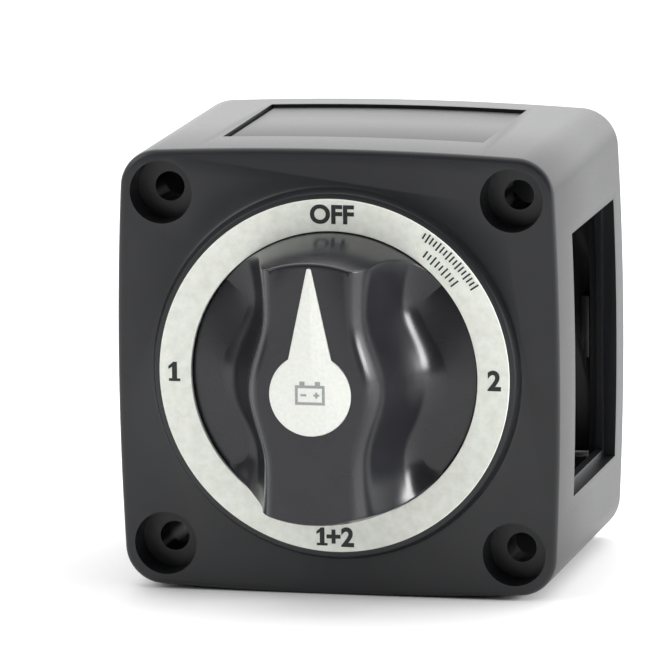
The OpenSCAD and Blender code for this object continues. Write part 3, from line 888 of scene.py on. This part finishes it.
height = handle_front - disc_front
levels = [(0, foot_fillet, 0, disc_front - 0.8)]
for i in range(9):
    a = math.pi / 2 * i / 9
    z = foot_fillet * (1 - math.cos(a))
    widen = foot_fillet * (1 - math.sin(a))
    levels.append((z / height, widen, 0, disc_front - disc_crown * math.cos(a) + z))
for i in range(11):
    z = foot_fillet + (height - top_drop - foot_fillet) * i / 11
    levels.append((z / height, 0, 0, disc_front + z))
for i in range(17):
    a = math.pi / 2 * i / 16
    z = height - top_drop * (1 - math.sin(a))
    end_round = end_inset - math.sqrt(max(0, end_inset ** 2 - max(0, z - height + end_inset) ** 2))
    levels.append((z / height, -flank_inset * (1 - math.cos(a)), -end_round, disc_front + z))
knob = loft("knob_handle_moulded", [handle_ring(*level) for level in levels])
rounded(knob, 0.7, angle=38, segments=4)
disc_edge = disc_front - disc_crown
cut(knob, turned("disc", [
    (0, disc_rear), (disc_r - 0.2, disc_rear), (disc_r, disc_rear + 0.2),
    (disc_r, disc_edge - 0.3), (disc_r - 0.1, disc_edge - 0.09), (disc_r - 0.3, disc_edge),
    (15, disc_front - 0.15), (10, disc_front), (0, disc_front),
], steps=160), "UNION")

# Socket for the shaft, with two flats and the clip's groove.
socket_r = 6.1
socket_flat = 4.9
shaft_front = handle_front - 4.4
socket_end = shaft_front + 0.3
flats_from = disc_front + 0.4
clip_z = shaft_front - 3
socket = rod("socket", socket_r, flats_from - 0.2, socket_end)
flats = block("flats", (-8, -socket_flat, flats_from - 1), (8, socket_flat, socket_end + 1))
cut(socket, flats, "INTERSECT")
cut(knob, socket)
cut(knob, rod("socket_mouth", socket_r + 0.05, disc_rear - 1, flats_from))
cut(knob, turned("clip_groove", [
    (5.9, clip_z - 0.6), (7.25, clip_z - 0.6), (7.25, clip_z + 0.6), (5.9, clip_z + 0.6),
]))

pointer_front = corner("knob_pointer", 1).z
pointer_rear = corner("knob_pointer", 0).z
pointer_r = corner("knob_pointer", 1).x
blade_w = 3.35
blade_tip = corner("knob_pointer", 1).y
tip_r = 0.4


def pointer_outline(grow):
    """Round end and tapered blade of the pointer, with a rounded tip."""
    radius = pointer_r + grow
    side = blade_w + grow
    start = math.atan2(math.sqrt(radius ** 2 - side ** 2), -side)
    sweep = math.tau - 2 * (start - math.pi / 2)
    points = []
    for i in range(57):
        a = start + sweep * i / 56
        points.append((radius * math.cos(a), radius * math.sin(a)))
    tip = tip_r + grow
    for i in range(9):
        a = math.pi * i / 8
        points.append((tip * math.cos(a), blade_tip - tip_r + tip * math.sin(a)))
    return points


def pointer_solid(name, grow, levels):
    """The pointer's outline, grown on all sides, through levels of (inset, height)."""
    return loft(name, [[(*p, z) for p in pointer_outline(grow - inset)] for inset, z in levels])


cut(knob, pointer_solid("pocket", 0.05, [(0, pointer_rear), (0, handle_front + 1)]))


def glossy_knob_plastic():
    """Dark grey ABS from a polished tool: glossy, with faint flow waves and fine handling marks."""
    material, tree, shader, place = new_material("glossy_knob_plastic")
    # Flow waves of the melt, some 5 mm long.
    waves = add(tree, "TexNoise", {"Scale": 1 / (5 * MM), "Detail": 2.0}, Vector=place)
    # Handling marks, 0.3 mm wide.
    rub = add(tree, "TexNoise", {"Scale": 1 / (0.3 * MM), "Detail": 3.0}, Vector=place)
    tint = add(tree, "ValToRGB", None, Fac=waves.outputs["Fac"])
    tint.color_ramp.elements[0].position = 0.3
    tint.color_ramp.elements[0].color = linear("#1a1a1e")
    tint.color_ramp.elements[1].position = 0.7
    tint.color_ramp.elements[1].color = linear("#202025")
    gloss = add(tree, "MapRange", {"To Min": 0.2, "To Max": 0.28}, Value=rub.outputs["Fac"])
    bump = add(tree, "Bump", {"Strength": 0.08, "Distance": 0.01 * MM}, Height=rub.outputs["Fac"])
    tree.links.new(tint.outputs["Color"], shader.inputs["Base Color"])
    tree.links.new(gloss.outputs["Result"], shader.inputs["Roughness"])
    tree.links.new(bump.outputs["Normal"], shader.inputs["Normal"])
    shader.inputs["IOR"].default_value = 1.47
    return material


finish(knob, "knob", glossy_knob_plastic(), "knob_handle", angle=30)
repaint("knob_clip", spring_wire_steel)

# ------------------------------------------------------------------ pointer
# A white plastic inlay, snapped into a pocket in the handle's top. A small grey
# battery sign is printed on its round end.

sign_t = 0.03
inlay_front = pointer_front - sign_t
pointer = pointer_solid("pointer_inlay", 0, [
    (0, pointer_rear), (0, inlay_front - 0.12), (0.04, inlay_front - 0.04), (0.12, inlay_front),
])


def white_inlay_plastic():
    """White ABS, moulded: clean and satin, very slightly creamy."""
    material, tree, shader, place = new_material("white_inlay_plastic")
    skin = add(tree, "TexNoise", {"Scale": 1 / (0.6 * MM), "Detail": 3.0}, Vector=place)
    tint = add(tree, "ValToRGB", None, Fac=skin.outputs["Fac"])
    tint.color_ramp.elements[0].position = 0.3
    tint.color_ramp.elements[0].color = linear("#e4e6df")
    tint.color_ramp.elements[1].position = 0.7
    tint.color_ramp.elements[1].color = linear("#eeefe9")
    gloss = add(tree, "MapRange", {"To Min": 0.34, "To Max": 0.46}, Value=skin.outputs["Fac"])
    tree.links.new(tint.outputs["Color"], shader.inputs["Base Color"])
    tree.links.new(gloss.outputs["Result"], shader.inputs["Roughness"])
    shader.inputs["Subsurface Weight"].default_value = 0.1
    shader.inputs["Subsurface Scale"].default_value = 0.6 * MM
    return material


finish(pointer, "knob", white_inlay_plastic(), "knob_pointer")

sign_w = 4.6
sign_h = 3.0
line_w = 0.42
sign = []
for x0, x1, y0, y1 in (
    (-sign_w / 2, sign_w / 2, -sign_h / 2, -sign_h / 2 + line_w),
    (-sign_w / 2, sign_w / 2, sign_h / 2 - line_w, sign_h / 2),
    (-sign_w / 2, -sign_w / 2 + line_w, -sign_h / 2 + line_w, sign_h / 2 - line_w),
    (sign_w / 2 - line_w, sign_w / 2, -sign_h / 2 + line_w, sign_h / 2 - line_w),
    (-sign_w / 2 + 0.7, -sign_w / 2 + 1.5, sign_h / 2 + 0.01, sign_h / 2 + 0.6),
    (sign_w / 2 - 1.5, sign_w / 2 - 0.7, sign_h / 2 + 0.01, sign_h / 2 + 0.6),
    (-1.45, -0.55, -0.16, 0.16),
    (0.55, 1.45, -0.16, 0.16),
    (0.84, 1.16, 0.17, 0.45),
    (0.84, 1.16, -0.45, -0.17),
):
    sign.append(block("line", (x0, y0, inlay_front - 0.01), (x1, y1, pointer_front)))
battery_sign = join("battery_sign", sign)


def grey_ink():
    """Grey pad-printing ink, thin enough for the white under it to lighten it."""
    material, tree, shader, place = new_material("grey_ink")
    patches = add(tree, "TexNoise", {"Scale": 1 / (0.5 * MM), "Detail": 2.0}, Vector=place)
    tint = add(tree, "ValToRGB", None, Fac=patches.outputs["Fac"])
    tint.color_ramp.elements[0].color = linear("#8e9090")
    tint.color_ramp.elements[1].color = linear("#a9abab")
    tree.links.new(tint.outputs["Color"], shader.inputs["Base Color"])
    shader.inputs["Roughness"].default_value = 0.55
    return material


finish(battery_sign, "knob", grey_ink())

# ------------------------------------------------------------------ side plates
# Snap-in plates of the case's own plastic fill the top, left and bottom windows; the
# right window is left open for cables. Each is bowed like the side it sits in and
# holds by two lugs behind its ends.

plate_recess = 0.5
plate_t = 1.6
lug_t = 1.2
lug_half = 7
lug_reach = 0.9
plate_z0 = window_rear + plate_gap
plate_z1 = window_front - plate_gap
plate_in = plate_recess + plate_t
plate = case_prism("plate", [(plate_recess, plate_z0), (plate_recess, plate_z1)])
cut(plate, case_prism("plate_back", [(plate_in, plate_z0 - 1), (plate_in, plate_z1 + 1)]))
cut(plate, block("plate_field", (-window_w / 2 + plate_gap, half - wall - 1, plate_z0 - 1),
                 (window_w / 2 - plate_gap, half + 1, plate_z1 + 1)), "INTERSECT")
rounded(plate, 0.18, angle=60, segments=2)
lug_x = window_w / 2 - step_w - plate_gap
lug_z = (window_rear + window_front) / 2
for x in (-lug_x, lug_x - lug_t):
    lug = block("lug", (x, half - wall - lug_reach, lug_z - lug_half),
                (x + lug_t, half - plate_recess - 1, lug_z + lug_half))
    rounded(lug, 0.25, segments=2)
    cut(plate, lug, "UNION")
for name, body, turn in (
    ("top_side_plate", "top_plate", 0),
    ("left_side_plate", "left_plate", 90),
    ("bottom_side_plate", "bottom_plate", 180),
):
    copy = moved(plate, Matrix.Rotation(math.radians(turn), 4, "Z"))
    copy.name = name + "_moulded"
    finish(copy, body, charcoal, name)
bpy.data.objects.remove(plate)

# ------------------------------------------------------------------ back cover
# A flat moulded cover lies flush in the rear opening, notched round the corner posts,
# with a tongue on each side that grips the ledge and a notch to pry it out.

cover_gap = 0.2
cover_inset = wall + cover_gap
cover = case_prism("back_cover_moulded",
                   [(cover_inset + 0.2, 0), (cover_inset, 0.2), (cover_inset, cover_t)])
for post in corner_posts(cover_gap, -1, cover_t + 1):
    cut(cover, post)
field_inset = wall + 13.5
field_depth = 0.35
cut(cover, case_prism("field", [(field_inset, -1), (field_inset, field_depth)]))
tongue_y = half - wall - ledge_w - cover_gap
tongue_t = 1.4
top_tongue = block("tongue", (-5, tongue_y - tongue_t, cover_t - 0.5),
                   (5, tongue_y, window_rear - 0.3))
for tongue in quarter_turns(top_tongue):
    rounded(tongue, 0.25, segments=2)
    cut(cover, tongue, "UNION")
cut(cover, block("pry_notch", (-4.5, half - cover_inset - 1.4, -1), (4.5, half, 1.1)))
rounded(cover, 0.15, angle=60, segments=2)
finish(cover, "rear_cover", charcoal, "back_cover")

# ------------------------------------------------------------------ stage
# A plain pale floor, soft studio light and the camera. The floor is matt board, and the
# light comes from a white room and three softboxes, one of them flagged off the case.

bpy.ops.object.select_all(action="DESELECT")
bpy.ops.mesh.primitive_plane_add(size=6, location=(0, 0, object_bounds()[0][2]))
floor = bpy.context.object
floor.name = "floor"
pale = bpy.data.materials.new("pale_floor")
pale.use_nodes = True
pale.node_tree.nodes["Principled BSDF"].inputs["Base Color"].default_value = linear("#f2f2f2")
pale.node_tree.nodes["Principled BSDF"].inputs["Roughness"].default_value = 0.7
floor.data.materials.append(pale)

# The studio is a white room: bright above and behind, dim low down at the camera's side.
world = bpy.data.worlds.new("studio")
bpy.context.scene.world = world
world.use_nodes = True
room = world.node_tree
direction = add(room, "TexCoord").outputs["Generated"]
axis = add(room, "CombineXYZ", {"X": 0.0, "Y": 0.8, "Z": 0.6}).outputs["Vector"]
towards = add(room, "VectorMath", {"operation": "DOT_PRODUCT"}, _0=direction, _1=axis)
share = add(room, "MapRange", {"From Min": -0.2, "From Max": 0.8, "To Min": 0.15, "To Max": 2.15},
            Value=towards.outputs["Value"])
room.links.new(share.outputs["Result"], room.nodes["Background"].inputs["Strength"])
room.nodes["Background"].inputs["Color"].default_value = (1, 1, 1, 1)
bpy.context.scene.view_settings.view_transform = "Standard"


def softbox(name, size, place, aim, power):
    data = bpy.data.lights.new(name, "AREA")
    data.shape = "RECTANGLE"
    data.size, data.size_y = size
    data.energy = power
    light = bpy.data.objects.new(name, data)
    bpy.context.scene.collection.objects.link(light)
    light.location = place
    light.rotation_euler = (Vector(aim) - Vector(place)).to_track_quat("-Z", "Y").to_euler()
    return light


strip = softbox("strip_light", (0.26, 0.26), (0.72, -0.08, 0.22), (0, -0.05, 0), 4.6)
# Flags keep the strip light off the case's flat sides, which would glare from the left.
lit = bpy.data.collections.new("lit_by_strip_light")
for piece in bpy.context.scene.objects:
    if piece.type == "MESH" and charcoal.name not in piece.data.materials:
        lit.objects.link(piece)
strip.light_linking.receiver_collection = lit
softbox("side_light", (0.35, 0.35), (0.85, 0.14, 0.2), (0, -0.05, 0), 1.4)
softbox("left_light", (0.3, 0.3), (-0.42, -0.4, 0.3), (0, -0.05, 0), 1.0)

data = bpy.data.cameras.new("camera")
data.lens = 491.7
data.sensor_width = 36
data.clip_start = 0.05
data.clip_end = 50
camera = bpy.data.objects.new("camera", data)
bpy.context.scene.collection.objects.link(camera)
camera.location = (0.2970, -1.3546, 0.2447)
camera.rotation_euler = [math.radians(a) for a in (79.933, 0.647, 12.806)]
bpy.context.scene.camera = camera
